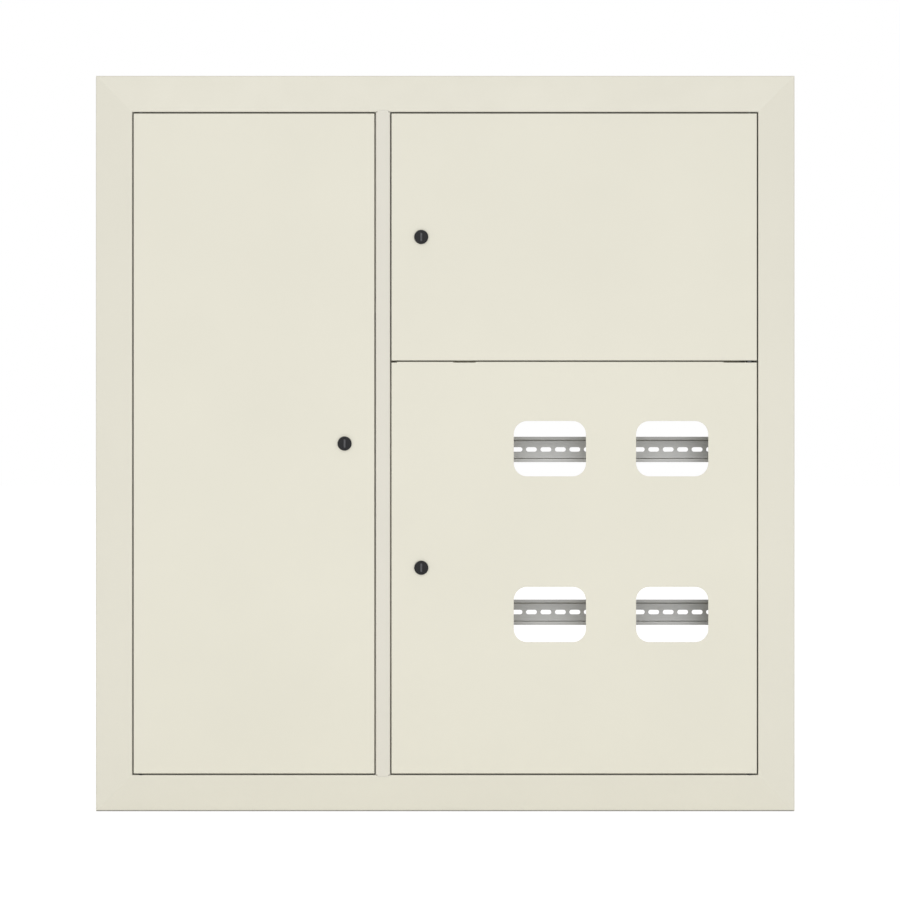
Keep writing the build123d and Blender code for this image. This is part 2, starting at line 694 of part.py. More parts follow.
# Hinge pins in the top and bottom reveals, with washers under the doors that stand on them
PIN_IN = DOOR_GAP + DOOR_T + HINGE_PLATE_T + PIN_END
PIN_OUT = FRAME_T
with BuildPart() as hinge_pins:
    with Locations(
        *[
            (x, PIVOT_Y, end * (OPEN_Z + (PIN_OUT - PIN_IN) / 2))
            for x in (-PIVOT_X, PIVOT_X)
            for end in (-1, 1)
        ]
    ):
        Cylinder(PIN_D / 2, PIN_IN + PIN_OUT)
save(hinge_pins.part, "hinge_pins")

with BuildPart() as hinge_washers:
    with BuildSketch(Plane.XY.offset(-OPEN_Z)):
        with Locations((-PIVOT_X, PIVOT_Y), (PIVOT_X, PIVOT_Y)):
            Circle(WASHER_D / 2)
            Circle(PIN_HOLE_R, mode=Mode.SUBTRACT)
    extrude(amount=DOOR_GAP - WASHER_PLAY)
save(hinge_washers.part, "hinge_washers")

# Middle hinge lug: tongue from the right stop over the step of the lower door, one pin for both doors
STEP_DEPTH = DOOR_T
LUG_BOTTOM = LOWER_DOOR_TOP - STEP_DEPTH + LUG_CLEAR
LUG_TOP = UPPER_DOOR_BOTTOM - LUG_CLEAR
LUG_PIN_TOP = UPPER_DOOR_BOTTOM + DOOR_T + HINGE_PLATE_T + PIN_END
LUG_PIN_BOTTOM = LOWER_DOOR_TOP - DOOR_T - HINGE_PLATE_T - PIN_END
with BuildPart() as hinge_lug:
    with BuildSketch(Plane.XY.offset(LUG_BOTTOM)):
        with Locations((PIVOT_X, (PIVOT_Y + STOP_FRONT) / 2)):
            Rectangle(LUG_W, STOP_FRONT - PIVOT_Y)
        with Locations((PIVOT_X, PIVOT_Y)):
            Circle(LUG_W / 2)
    extrude(amount=LUG_TOP - LUG_BOTTOM)
    with Locations((PIVOT_X, PIVOT_Y, (LUG_PIN_TOP + LUG_PIN_BOTTOM) / 2)):
        Cylinder(PIN_D / 2, LUG_PIN_TOP - LUG_PIN_BOTTOM)
save(hinge_lug.part, "hinge_lug")


# Doors: trays with a return lip, the same for all three before windows and steps
def door_tray(left, right, bottom, top, hinge_x, lock):
    middle = ((left + right) / 2, (bottom + top) / 2)
    with BuildPart() as tray:
        with BuildSketch(front_plane(FRONT)):
            with Locations(middle):
                Rectangle(right - left, top - bottom)
        extrude(amount=-DOOR_D)
        fillet(tray.faces().sort_by(Axis.Y)[0].edges(), DOOR_EDGE_R)
        with BuildSketch(front_plane(FRONT + DOOR_T)):
            with Locations(middle):
                Rectangle(right - left - 2 * DOOR_T, top - bottom - 2 * DOOR_T)
        extrude(amount=-(DOOR_D - 2 * DOOR_T), mode=Mode.SUBTRACT)
        with BuildSketch(front_plane(FRONT + DOOR_D)):
            with Locations(middle):
                Rectangle(right - left - 2 * DOOR_LIP, top - bottom - 2 * DOOR_LIP)
        extrude(amount=DOOR_T, mode=Mode.SUBTRACT)
        with BuildSketch(front_plane(FRONT)):
            with Locations(lock):
                Circle(BARREL_D / 2 + BARREL_PLAY)
                Rectangle(BARREL_FLATS + 2 * BARREL_PLAY, BARREL_D * 2, mode=Mode.INTERSECT)
        extrude(amount=-DOOR_T, mode=Mode.SUBTRACT)
        with Locations((hinge_x, PIVOT_Y, middle[1])):
            Cylinder(PIN_HOLE_R, top - bottom, mode=Mode.SUBTRACT)
    return tray.part


# Hinge plates: doublers welded into the hinge corners of a door
def hinge_plates(name, edge, side, bottom, top):
    reach = HINGE_PLATE_W / 2
    with BuildPart() as plates:
        for level in (bottom + DOOR_T, top - DOOR_T - HINGE_PLATE_T):
            with BuildSketch(Plane.XY.offset(level)):
                with Locations((edge - side * (DOOR_T + reach), FRONT + DOOR_D / 2)):
                    Rectangle(HINGE_PLATE_W, DOOR_D - 2 * DOOR_T)
                with Locations((side * PIVOT_X, PIVOT_Y)):
                    Circle(PIN_HOLE_R, mode=Mode.SUBTRACT)
            extrude(amount=HINGE_PLATE_T)
    save(plates.part, name)


LEFT_DOOR = (-OPEN_X + DOOR_GAP, STILE_LEFT - DOOR_GAP, -OPEN_Z + DOOR_GAP, OPEN_Z - DOOR_GAP)
UPPER_DOOR = (STILE_RIGHT + DOOR_GAP, OPEN_X - DOOR_GAP, UPPER_DOOR_BOTTOM, OPEN_Z - DOOR_GAP)
LOWER_DOOR = (STILE_RIGHT + DOOR_GAP, OPEN_X - DOOR_GAP, -OPEN_Z + DOOR_GAP, LOWER_DOOR_TOP)
LEFT_LOCK = (LEFT_DOOR[1] - LOCK_SETBACK, (LEFT_DOOR[2] + LEFT_DOOR[3]) / 2)
UPPER_LOCK = (UPPER_DOOR[0] + LOCK_SETBACK, (UPPER_DOOR[2] + UPPER_DOOR[3]) / 2)
LOWER_LOCK = (LOWER_DOOR[0] + LOCK_SETBACK, (LOWER_DOOR[2] + LOWER_DOOR[3]) / 2)

with BuildPart() as left_door:
    add(door_tray(*LEFT_DOOR, -PIVOT_X, LEFT_LOCK))
save(left_door.part, "left_door_panel")

with BuildPart() as upper_door:
    add(door_tray(*UPPER_DOOR, PIVOT_X, UPPER_LOCK))
save(upper_door.part, "upper_door_panel")

LUG_STEP_W = PIVOT_INSET + LUG_W / 2 + LUG_PLAY
TOP_STEPS = [
    (LOWER_DOOR[0] + STEP_END_W / 2, STEP_END_W),
    (LOWER_DOOR[0] + STEP_FROM_FREE_EDGE, STEP_W),
    (LOWER_DOOR[1] - STEP_FROM_HINGE_EDGE, STEP_W),
    (LOWER_DOOR[1] - LUG_STEP_W / 2, LUG_STEP_W),
]
with BuildPart() as lower_door:
    add(door_tray(*LOWER_DOOR, PIVOT_X, LOWER_LOCK))
    with BuildSketch(front_plane(FRONT)):
        with Locations((WINDOWS_X, WINDOWS_Z)):
            with GridLocations(WINDOW_PITCH_X, WINDOW_PITCH_Z, 2, 2):
                RectangleRounded(WINDOW_W, WINDOW_H, WINDOW_R)
        for step_x, step_w in TOP_STEPS:
            with Locations((step_x, LOWER_DOOR_TOP - STEP_DEPTH / 2)):
                Rectangle(step_w, STEP_DEPTH)
    extrude(amount=-DOOR_D, mode=Mode.SUBTRACT)
save(lower_door.part, "lower_door_panel")

hinge_plates("left_door_hinge_plates", LEFT_DOOR[0], -1, LEFT_DOOR[2], LEFT_DOOR[3])
hinge_plates("upper_door_hinge_plates", UPPER_DOOR[1], 1, UPPER_DOOR[2], UPPER_DOOR[3])
hinge_plates("lower_door_hinge_plates", LOWER_DOOR[1], 1, LOWER_DOOR[2], LOWER_DOOR[3])

# Locks, in planes counted from the door face back
DISC_FRONT = FRONT - BEZEL_T + ROTOR_RECESS
SLOT_FLOOR = DISC_FRONT + SLOT_DEPTH
SLOT_L = ROTOR_DISC_D - 2 * SLOT_MARGIN
DISC_BACK = SLOT_FLOOR + SLOT_FLOOR_T
BARREL_L = CAM_FRONT - BARREL_CAM_GAP - FRONT


def lock_barrel(name, place):
    with BuildPart() as barrel:
        with BuildSketch(front_plane(FRONT)):
            with Locations(place):
                Circle(BEZEL_D / 2)
        extrude(amount=BEZEL_T)
        chamfer(barrel.edges().sort_by(Axis.Y)[0], BEZEL_CHAMFER)
        with BuildSketch(front_plane(FRONT)):
            with Locations(place):
                Circle(BARREL_D / 2)
                Rectangle(BARREL_FLATS, BARREL_D * 2, mode=Mode.INTERSECT)
        extrude(amount=-BARREL_L)
        with BuildSketch(front_plane(DISC_BACK + ROTOR_PLAY)):
            with Locations(place):
                Circle(ROTOR_DISC_D / 2 + ROTOR_PLAY)
        extrude(amount=BARREL_L, mode=Mode.SUBTRACT)
        with BuildSketch(front_plane(FRONT - BEZEL_T)):
            with Locations(place):
                Circle(ROTOR_SHAFT_D / 2 + ROTOR_PLAY)
        extrude(amount=-BARREL_L - BEZEL_T, mode=Mode.SUBTRACT)
    save(barrel.part, name)


def lock_nut(name, place):
    with BuildPart() as nut:
        with BuildSketch(front_plane(FRONT + DOOR_T)):
            with Locations(place):
                RegularPolygon(LOCK_NUT_AF / 2, 6, major_radius=False)
                Circle(BARREL_D / 2 + BARREL_PLAY, mode=Mode.SUBTRACT)
        extrude(amount=-LOCK_NUT_T)
    save(nut.part, name)


def lock_rotor(name, place):
    with BuildPart() as rotor:
        with BuildSketch(front_plane(DISC_BACK)):
            with Locations(place):
                Circle(ROTOR_DISC_D / 2)
        extrude(amount=DISC_BACK - DISC_FRONT)
        with BuildSketch(front_plane(DISC_BACK)):
            with Locations(place):
                Circle(ROTOR_SHAFT_D / 2)
        extrude(amount=DISC_BACK - CAM_FRONT)
        with BuildSketch(front_plane(CAM_FRONT)):
            with Locations(place):
                Rectangle(ROTOR_SQUARE, ROTOR_SQUARE)
        extrude(amount=-CAM_T)
        with BuildSketch(front_plane(CAM_BACK)):
            with Locations(place):
                Circle(CAM_SCREW_D / 2 + SCREW_PLAY)
        extrude(amount=CAM_SCREW_L, mode=Mode.SUBTRACT)
        with BuildSketch(front_plane(SLOT_FLOOR)):
            with Locations(place):
                Rectangle(SLOT_W, SLOT_L)
        extrude(amount=SLOT_DEPTH, mode=Mode.SUBTRACT)
    save(rotor.part, name)


def lock_shutter(name, place):
    with BuildPart() as shutter:
        with BuildSketch(front_plane(SLOT_FLOOR)):
            with Locations(place):
                Rectangle(SLOT_W - 2 * SCREW_PLAY, SLOT_L - 2 * SCREW_PLAY)
        extrude(amount=SHUTTER_T)
    save(shutter.part, name)


def lock_cam(name, place):
    with BuildPart() as cam:
        with BuildSketch(front_plane(CAM_FRONT)):
            with Locations(place):
                Circle(CAM_R)
                with Locations((0, CAM_TIP_R - CAM_L)):
                    Circle(CAM_TIP_R)
            make_hull()
            with Locations(place):
                Rectangle(ROTOR_SQUARE + 2 * SCREW_PLAY, ROTOR_SQUARE + 2 * SCREW_PLAY, mode=Mode.SUBTRACT)
        extrude(amount=-CAM_T)
    save(cam.part, name)


def lock(name, place):
    lock_barrel(f"{name}_lock_barrel", place)
    lock_nut(f"{name}_lock_nut", place)
    lock_rotor(f"{name}_lock_rotor", place)
    lock_shutter(f"{name}_lock_shutter", place)
    lock_cam(f"{name}_lock_cam", place)
    cam_screw = screws([place], CAM_BACK, CAM_SCREW_L - SCREW_END, CAM_SCREW_D, facing=-1)
    save(cam_screw, f"{name}_lock_cam_screw")


lock("left", LEFT_LOCK)
lock("upper", UPPER_LOCK)
lock("lower", LOWER_LOCK)
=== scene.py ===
"""Looks of a floor distribution board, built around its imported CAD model."""

import json
import math
import random

import bmesh
import bpy
from mathutils import Matrix, Vector

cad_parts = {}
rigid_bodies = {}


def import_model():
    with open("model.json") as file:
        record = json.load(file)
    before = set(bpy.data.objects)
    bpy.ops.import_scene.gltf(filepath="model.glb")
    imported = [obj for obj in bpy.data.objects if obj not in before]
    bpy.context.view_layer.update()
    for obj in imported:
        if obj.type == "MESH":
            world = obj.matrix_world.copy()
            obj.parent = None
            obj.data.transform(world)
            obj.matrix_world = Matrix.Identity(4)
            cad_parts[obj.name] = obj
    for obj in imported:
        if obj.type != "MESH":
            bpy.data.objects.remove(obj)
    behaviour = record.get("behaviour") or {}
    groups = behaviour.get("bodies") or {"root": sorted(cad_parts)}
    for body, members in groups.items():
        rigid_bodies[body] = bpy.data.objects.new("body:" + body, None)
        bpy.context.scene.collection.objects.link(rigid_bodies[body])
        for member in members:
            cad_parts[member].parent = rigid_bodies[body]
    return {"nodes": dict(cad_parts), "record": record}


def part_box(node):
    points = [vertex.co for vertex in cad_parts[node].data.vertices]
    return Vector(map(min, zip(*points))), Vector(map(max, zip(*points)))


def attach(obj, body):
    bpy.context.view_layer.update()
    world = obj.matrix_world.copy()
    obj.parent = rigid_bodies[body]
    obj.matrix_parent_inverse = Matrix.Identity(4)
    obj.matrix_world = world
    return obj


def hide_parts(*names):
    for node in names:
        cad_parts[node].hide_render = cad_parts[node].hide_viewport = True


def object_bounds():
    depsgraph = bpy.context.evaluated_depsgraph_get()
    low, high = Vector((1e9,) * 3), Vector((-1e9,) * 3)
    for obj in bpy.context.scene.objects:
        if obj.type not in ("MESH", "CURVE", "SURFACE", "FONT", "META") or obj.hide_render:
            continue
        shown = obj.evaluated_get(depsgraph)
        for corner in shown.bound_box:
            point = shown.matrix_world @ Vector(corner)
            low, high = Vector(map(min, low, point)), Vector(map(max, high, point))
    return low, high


MM = 0.001
WHITE = (1.0, 1.0, 1.0, 1.0)
MATRIX_SIZE = 4

# Camera: straight on from far away, as in the photograph
CAMERA_PLACE = (0.0065, -4.64, -0.0088)
CAMERA_SENSOR = 36.0
CAMERA_LENS = 132.66

# Studio: soft lamps aimed at the board's middle, as (name, place, width, height, watts, shown in reflections)
LAMPS = (
    ("key_lamp", (0.0, -8.0, 3.8), 6.0, 2.0, 187.0, True),
    ("foot_lamp", (0.0, -1.3, -0.42), 2.0, 0.1, 1.9, False),
)
LAMP_TARGET = (0.0, -0.07, 0.0)
AMBIENT = 0.655
WHITE_GROUND = 1.0
FLOOR_HALF = 40.0
FLOOR_TONE = (0.97, 0.975, 1.0, 1.0)
FLOOR_GLOW = 0.86
FLOOR_SHADE_TONE = (0.3, 0.3, 0.3, 1.0)

# Noise: how many finer layers it has, and the part of its range that most of it fills
FEW_LAYERS = 1.0
SOME_LAYERS = 2.0
MANY_LAYERS = 3.0
MOST_LAYERS = 4.0
NOISE_LOW = 0.3
NOISE_HIGH = 0.7
EVEN_STRETCH = (1.0, 1.0, 1.0)

# Rounded edges and gaps: rays that look for them, and how far a normal turns at a full edge
EDGE_RAYS = 4
GAP_RAYS = 8
EDGE_TURN = 0.85

# Powder coat, colours linear
DOOR_TONE = (0.775, 0.75, 0.635)
# The frame's and the stile's tones are darker than the doors': painted shade for the shade on the frame's
# sides and the stile
FRAME_SHADED_TONE = (0.762, 0.737, 0.628)
STILE_SHADED_TONE = (0.735, 0.708, 0.62)
BOX_TONE = (0.75, 0.73, 0.62)
COAT_EDGE = 0.5 * MM
STILE_EDGE = 0.1 * MM
CLOUD_SIZE = 180 * MM
CLOUD_SPREAD = 0.012
SPECK_SIZE = 1.4 * MM
SPECK_SHARE = 0.10
SPECK_SHADE = 0.93
WORN_TONE = (0.84, 0.83, 0.76)
WORN_SHARE = 0.35
COAT_ROUGHNESS = (0.40, 0.52)
COAT_DULL_SIZE = 30 * MM
COAT_GLOSS = 0.35
PEEL_SIZE = 1.1 * MM
PEEL_DEPTH = 0.02 * MM

# Painted shade in gaps: how wide a gap holds it, and how open an upright or a level face may be and still do
# so
GAP_SHADE_TONE = (0.03, 0.028, 0.024)
GAP_SHADE_REACH = 6 * MM
GAP_SHADE_SHARE = 0.97
GAP_SHADE_UPRIGHT = 0.52
GAP_SHADE_LEVEL = 0.97

# Plated metals
ZINC_TONE = (0.62, 0.62, 0.60)
ZINC_ROUGHNESS = (0.28, 0.42)
BRASS_TONE = (0.72, 0.52, 0.22)
BRASS_ROUGHNESS = (0.24, 0.38)
# Hinge pins and lugs: near-black steel, dark also as painted shade where they show in the door gaps
PIN_TONE = (0.10, 0.10, 0.10)
PIN_ROUGHNESS = (0.35, 0.50)
PLATE_EDGE = 0.3 * MM
# Painted highlight: the edges of plated metal are painted brighter
PLATE_HIGHLIGHT_GAIN = 1.25
PLATE_HIGHLIGHT_SHARE = 0.6
PATCH_SIZE = 14 * MM
PATCH_SPREAD = 0.08
PLATE_DULL_SIZE = 9 * MM
DRAWN_SIZE = 0.5 * MM
DRAWN_STRETCH = (0.04, 1.0, 1.0)
DRAWN_DEPTH = 0.01 * MM

# Zinc of the rolled rails
RAIL_TONE = (0.525, 0.525, 0.515)
RAIL_ROUGHNESS = (0.40, 0.54)
# Painted highlight: the rails' edges and folds are painted brighter
RAIL_HIGHLIGHT_SHARE = 0.4
STREAK_SIZE = 0.9 * MM
STREAK_STRETCH = (0.05, 1.0, 1.0)
STREAK_SPREAD = 0.10
STREAK_DEPTH = 0.01 * MM

# Hot-dip zinc
CRYSTAL_SIZE = 11 * MM
CRYSTAL_DARK = (0.47, 0.48, 0.49)
CRYSTAL_LIGHT = (0.56, 0.57, 0.58)
CRYSTAL_ROUGHNESS = (0.34, 0.52)
CRYSTAL_EDGE = 0.5 * MM
DIPPED_SIZE = 2.0 * MM
DIPPED_DEPTH = 0.015 * MM

# Moulded and cast surfaces
LOCK_TONE = (0.012, 0.012, 0.013)
LOCK_ROUGHNESS = (0.30, 0.42)
LOCK_GRAIN = 0.4 * MM
SHUTTER_TONE = (0.10, 0.10, 0.105)
SHUTTER_ROUGHNESS = (0.40, 0.55)
SHUTTER_GRAIN = 0.3 * MM
INSULATOR_TONE = (0.05, 0.14, 0.42)
INSULATOR_ROUGHNESS = (0.42, 0.55)
INSULATOR_GRAIN = 0.5 * MM
NYLON_TONE = (0.02, 0.02, 0.02)
NYLON_ROUGHNESS = (0.45, 0.60)
NYLON_GRAIN = 0.4 * MM
MOULD_EDGE = 0.35 * MM
MOULD_EDGE_GAIN = 1.6
MOULD_EDGE_LIFT = 0.02
MOULD_EDGE_SHARE = 0.5
MOULD_SHADE_SIZE = 3.0 * MM
MOULD_SHADE_SPREAD = 0.12
MOULD_DULL_SIZE = 1.5 * MM
MOULD_GLOSS = 0.25
MOULD_DEPTH = 0.02 * MM

# Turned pieces
SEGMENTS = 32
ROWS_PER_PITCH = 4
SHADE_ANGLE = math.radians(35)
WELD = 0.01 * MM
SIZE_DIGITS = 6
PLACE_DIGITS = 4
SCREW_PITCH = 0.8 * MM
SCREW_THREAD = 0.35 * MM
STUD_PITCH = 1.25 * MM
STUD_THREAD = 0.6 * MM
STUD_CHAMFER = 1.0 * MM
TURN_SEED = 7

# Screw heads and driver recesses, as shares of the head's radius or thickness
HEAD_TOP_SHARE = 0.55
HEAD_ROUND_STEPS = 5
HEAD_SHOULDER_SHARE = 0.4
RECESS_LENGTH = 0.6
RECESS_WIDTH = 0.15
RECESS_DEPTH = 0.55
RECESS_TAPER = 0.6
CROSS_ARMS = 4
SLOT_LENGTH = 1.4

# Lock barrel
BARREL_PITCH = 1.0 * MM
BARREL_THREAD = 0.45 * MM
BARREL_FLATS = 14.0 * MM
BARREL_R = 8.0 * MM
LEAST_COSINE = 0.01
BEZEL_T = 2.5 * MM
BEZEL_ROUND = 0.7 * MM
BEZEL_STEPS = 4
DISC_BORE_R = 7.55 * MM
DISC_BORE_DEPTH = 1.65 * MM
SHAFT_BORE_R = 4.55 * MM

for leftover in list(bpy.data.objects):
    bpy.data.objects.remove(leftover)
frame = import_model()
cad_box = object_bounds()


def scaled(tone, factor):
    return tuple(min(1.0, part * factor) for part in tone)


class Shader:
    """One material's node tree, with a short call for each kind of node that it uses."""

    def __init__(self, name):
        self.material = bpy.data.materials.new(name)
        self.material.use_nodes = True
        self.tree = self.material.node_tree
        self.surface = self.tree.nodes["Principled BSDF"]
        self.coordinates = self.tree.nodes.new("ShaderNodeTexCoord")

    def node(self, kind, **inputs):
        made = self.tree.nodes.new(kind)
        for socket, value in inputs.items():
            made.inputs[socket].default_value = value
        return made

    def join(self, output, node, socket):
        self.tree.links.new(output, node.inputs[socket])

    def fix(self, socket, value):
        self.surface.inputs[socket].default_value = value

    def feed(self, socket, output):
        self.join(output, self.surface, socket)

    def place(self, stretch):
        mapping = self.node("ShaderNodeMapping", Scale=stretch)
        self.join(self.coordinates.outputs["Object"], mapping, "Vector")
        return mapping.outputs["Vector"]

    def noise(self, size, layers=SOME_LAYERS, stretch=EVEN_STRETCH):
        """Noise with features about size metres across."""
        noise = self.node("ShaderNodeTexNoise", Scale=1.0 / size, Detail=layers)
        self.join(self.place(stretch), noise, "Vector")
        return noise.outputs["Fac"]

    def crystals(self, size):
        """One grey for each crystal, about size metres across."""
        cells = self.node("ShaderNodeTexVoronoi", Scale=1.0 / size)
        self.join(self.place(EVEN_STRETCH), cells, "Vector")
        split = self.node("ShaderNodeSeparateColor")
        self.join(cells.outputs["Color"], split, "Color")
        return split.outputs["Red"]

    def span(self, value, low, high, start=NOISE_LOW, end=NOISE_HIGH):
        """The value between start and end, spread from low to high."""
        spread = self.node("ShaderNodeMapRange")
        for socket, number in (("From Min", start), ("From Max", end), ("To Min", low), ("To Max", high)):
            spread.inputs[socket].default_value = number
        self.join(value, spread, "Value")
        return spread.outputs["Result"]

    def weaker(self, mask, share):
        """A mask that reaches no more than a share of its full strength."""
        return self.span(mask, 0.0, share, 0.0, 1.0)

    def ramp(self, value, first, last):
        """The colours between two (position, colour) stops, by a value."""
        ramp = self.node("ShaderNodeValToRGB")
        for element, (position, colour) in zip(ramp.color_ramp.elements, (first, last)):
            element.position = position
            element.color = (*colour, 1.0)
        self.join(value, ramp, "Fac")
        return ramp.outputs["Color"]

    def shades(self, value, tone, spread):
        """A tone that goes spread darker and lighter with the value."""
        return self.ramp(value, (NOISE_LOW, scaled(tone, 1 - spread)), (NOISE_HIGH, scaled(tone, 1 + spread)))

    def mix(self, factor, below, tone):
        """A tone laid over what is below it, as strong as the factor says."""
        mix = self.tree.nodes.new("ShaderNodeMix")
        mix.data_type = "RGBA"
        under, over = (socket for socket in mix.inputs if socket.type == "RGBA")
        self.join(factor, mix, "Factor")
        self.tree.links.new(below, under)
        over.default_value = (*tone, 1.0)
        return next(socket for socket in mix.outputs if socket.type == "RGBA")

    def rounded(self, radius):
        """The normal with its edges rounded, and a mask of where that turns it."""
        bevel = self.node("ShaderNodeBevel", Radius=radius)
        bevel.samples = EDGE_RAYS
        face = self.node("ShaderNodeNewGeometry")
        turn = self.tree.nodes.new("ShaderNodeVectorMath")
        turn.operation = "DOT_PRODUCT"
        for source, socket in zip((bevel, face), turn.inputs):
            self.tree.links.new(source.outputs["Normal"], socket)
        return bevel.outputs["Normal"], self.span(turn.outputs["Value"], 0.0, 1.0, 1.0, EDGE_TURN)

    def gaps(self, reach):
        """A mask of deep narrow gaps, up to reach metres wide, that spreads further on level faces, for
        painted shade there.
        """
        open_share = self.node("ShaderNodeAmbientOcclusion", Distance=reach)
        open_share.samples = GAP_RAYS
        face = self.node("ShaderNodeNewGeometry")
        split = self.node("ShaderNodeSeparateXYZ")
        self.join(face.outputs["Normal"], split, "Vector")
        level = self.tree.nodes.new("ShaderNodeMath")
        level.operation = "ABSOLUTE"
        self.join(split.outputs["Z"], level, "Value")
        mask = self.node("ShaderNodeMapRange")
        mask.inputs["To Min"].default_value = 1.0
        mask.inputs["To Max"].default_value = 0.0
        self.join(open_share.outputs["AO"], mask, "Value")
        self.join(self.span(level.outputs["Value"], GAP_SHADE_UPRIGHT, GAP_SHADE_LEVEL, 0.0, 1.0), mask, "From Max")
        return mask.outputs["Result"]

    def bump(self, height, depth, normal):
        bump = self.node("ShaderNodeBump", Distance=depth)
        self.join(height, bump, "Height")
        self.join(normal, bump, "Normal")
        self.feed("Normal", bump.outputs["Normal"])


def coat(name, tone, round_edge=COAT_EDGE):
    """Powder coat: fine orange peel, a faint cloudiness, paler edges and painted shade, near black, in narrow
    gaps.
    """
    shader = Shader(name)
    normal, edge = shader.rounded(round_edge)
    cloud = shader.shades(shader.noise(CLOUD_SIZE, MANY_LAYERS), tone, CLOUD_SPREAD)
    speckle = shader.span(shader.noise(SPECK_SIZE, FEW_LAYERS), 0.0, SPECK_SHARE)
    flecked = shader.mix(speckle, cloud, scaled(tone, SPECK_SHADE))
    worn = shader.mix(shader.weaker(edge, WORN_SHARE), flecked, WORN_TONE)
    # Painted shade: narrow gaps are coloured near black where shade falls in them
    gap_shade = shader.weaker(shader.gaps(GAP_SHADE_REACH), GAP_SHADE_SHARE)
    shader.feed("Base Color", shader.mix(gap_shade, worn, GAP_SHADE_TONE))
    shader.feed("Roughness", shader.span(shader.noise(COAT_DULL_SIZE, MANY_LAYERS), *COAT_ROUGHNESS))
    shader.fix("Specular IOR Level", COAT_GLOSS)
    shader.bump(shader.noise(PEEL_SIZE), PEEL_DEPTH, normal)
    return shader.material


def plated(name, tone, roughness):
    """Plated metal: fine drawn lines along X, patches of duller plate, edges painted brighter as a highlight.
    """
    shader = Shader(name)
    normal, edge = shader.rounded(PLATE_EDGE)
    patches = shader.shades(shader.noise(PATCH_SIZE, MOST_LAYERS), tone, PATCH_SPREAD)
    edge_highlight = scaled(tone, PLATE_HIGHLIGHT_GAIN)
    shader.feed("Base Color", shader.mix(shader.weaker(edge, PLATE_HIGHLIGHT_SHARE), patches, edge_highlight))
    shader.feed("Roughness", shader.span(shader.noise(PLATE_DULL_SIZE, MANY_LAYERS), *roughness))
    shader.fix("Metallic", 1.0)
    shader.bump(shader.noise(DRAWN_SIZE, SOME_LAYERS, DRAWN_STRETCH), DRAWN_DEPTH, normal)
    return shader.material


def rail_zinc(name):
    """Zinc of a rolled rail: fine streaks along it that differ in shade and gloss, and edges painted brighter
    as a highlight.
    """
    shader = Shader(name)
    normal, edge = shader.rounded(PLATE_EDGE)
    streaks = shader.noise(STREAK_SIZE, MANY_LAYERS, STREAK_STRETCH)
    rolled = shader.shades(streaks, RAIL_TONE, STREAK_SPREAD)
    edge_highlight = scaled(RAIL_TONE, PLATE_HIGHLIGHT_GAIN)
    shader.feed("Base Color", shader.mix(shader.weaker(edge, RAIL_HIGHLIGHT_SHARE), rolled, edge_highlight))
    shader.feed("Roughness", shader.span(streaks, *RAIL_ROUGHNESS))
    shader.fix("Metallic", 1.0)
    shader.bump(streaks, STREAK_DEPTH, normal)
    return shader.material


def galvanised(name):
    """Hot-dip zinc: flat crystals that differ in brightness and gloss."""
    shader = Shader(name)
    normal, _ = shader.rounded(CRYSTAL_EDGE)
    crystals = shader.crystals(CRYSTAL_SIZE)
    shader.feed("Base Color", shader.ramp(crystals, (0.0, CRYSTAL_DARK), (1.0, CRYSTAL_LIGHT)))
    shader.feed("Roughness", shader.span(crystals, *CRYSTAL_ROUGHNESS, 0.0, 1.0))
    shader.fix("Metallic", 1.0)
    shader.bump(shader.noise(DIPPED_SIZE, MANY_LAYERS), DIPPED_DEPTH, normal)
    return shader.material


def moulded(name, tone, roughness, grain):
    """Moulded or cast surface with a fine grain and edges rubbed paler."""
    shader = Shader(name)
    normal, edge = shader.rounded(MOULD_EDGE)
    base = shader.shades(shader.noise(MOULD_SHADE_SIZE, MANY_LAYERS), tone, MOULD_SHADE_SPREAD)
    pale = tuple(part * MOULD_EDGE_GAIN + MOULD_EDGE_LIFT for part in tone)
    shader.feed("Base Color", shader.mix(shader.weaker(edge, MOULD_EDGE_SHARE), base, pale))
    shader.feed("Roughness", shader.span(shader.noise(MOULD_DULL_SIZE), *roughness))
    shader.fix("Specular IOR Level", MOULD_GLOSS)
    shader.bump(shader.noise(grain), MOULD_DEPTH, normal)
    return shader.material


MATERIALS = {
    "frame_coat": coat("frame_coat_look", FRAME_SHADED_TONE),
    "door_coat": coat("door_coat_look", DOOR_TONE),
    "box_coat": coat("box_coat_look", BOX_TONE),
    "galvanised": galvanised("galvanised_look"),
    "rail_zinc": rail_zinc("rail_zinc_look"),
    "zinc_steel": plated("zinc_steel_look", ZINC_TONE, ZINC_ROUGHNESS),
    "lock_black": moulded("lock_black_look", LOCK_TONE, LOCK_ROUGHNESS, LOCK_GRAIN),
    "shutter_steel": moulded("shutter_steel_look", SHUTTER_TONE, SHUTTER_ROUGHNESS, SHUTTER_GRAIN),
    "bar_brass": plated("bar_brass_look", BRASS_TONE, BRASS_ROUGHNESS),
    "insulator": moulded("insulator_look", INSULATOR_TONE, INSULATOR_ROUGHNESS, INSULATOR_GRAIN),
    "nylon_black": moulded("nylon_black_look", NYLON_TONE, NYLON_ROUGHNESS, NYLON_GRAIN),
}

# Nodes whose look differs from the rest of their slot
NODE_LOOKS = {
    # Hinge pins and lugs are near-black steel, dark also as painted shade where they show in the door gaps
    "hinge_pins": plated("hinge_pin_look", PIN_TONE, PIN_ROUGHNESS),
    "centre_stile": coat("stile_coat_look", STILE_SHADED_TONE, STILE_EDGE),
}
NODE_LOOKS["hinge_lug"] = NODE_LOOKS["hinge_pins"]


def dress_nodes():
    slots = {part["node"]: part["material_slot"] for part in frame["record"]["subparts"]}
    for name, node in frame["nodes"].items():
        look = NODE_LOOKS.get(name, MATERIALS[slots[name]])
        for slot in node.material_slots:
            slot.material = look


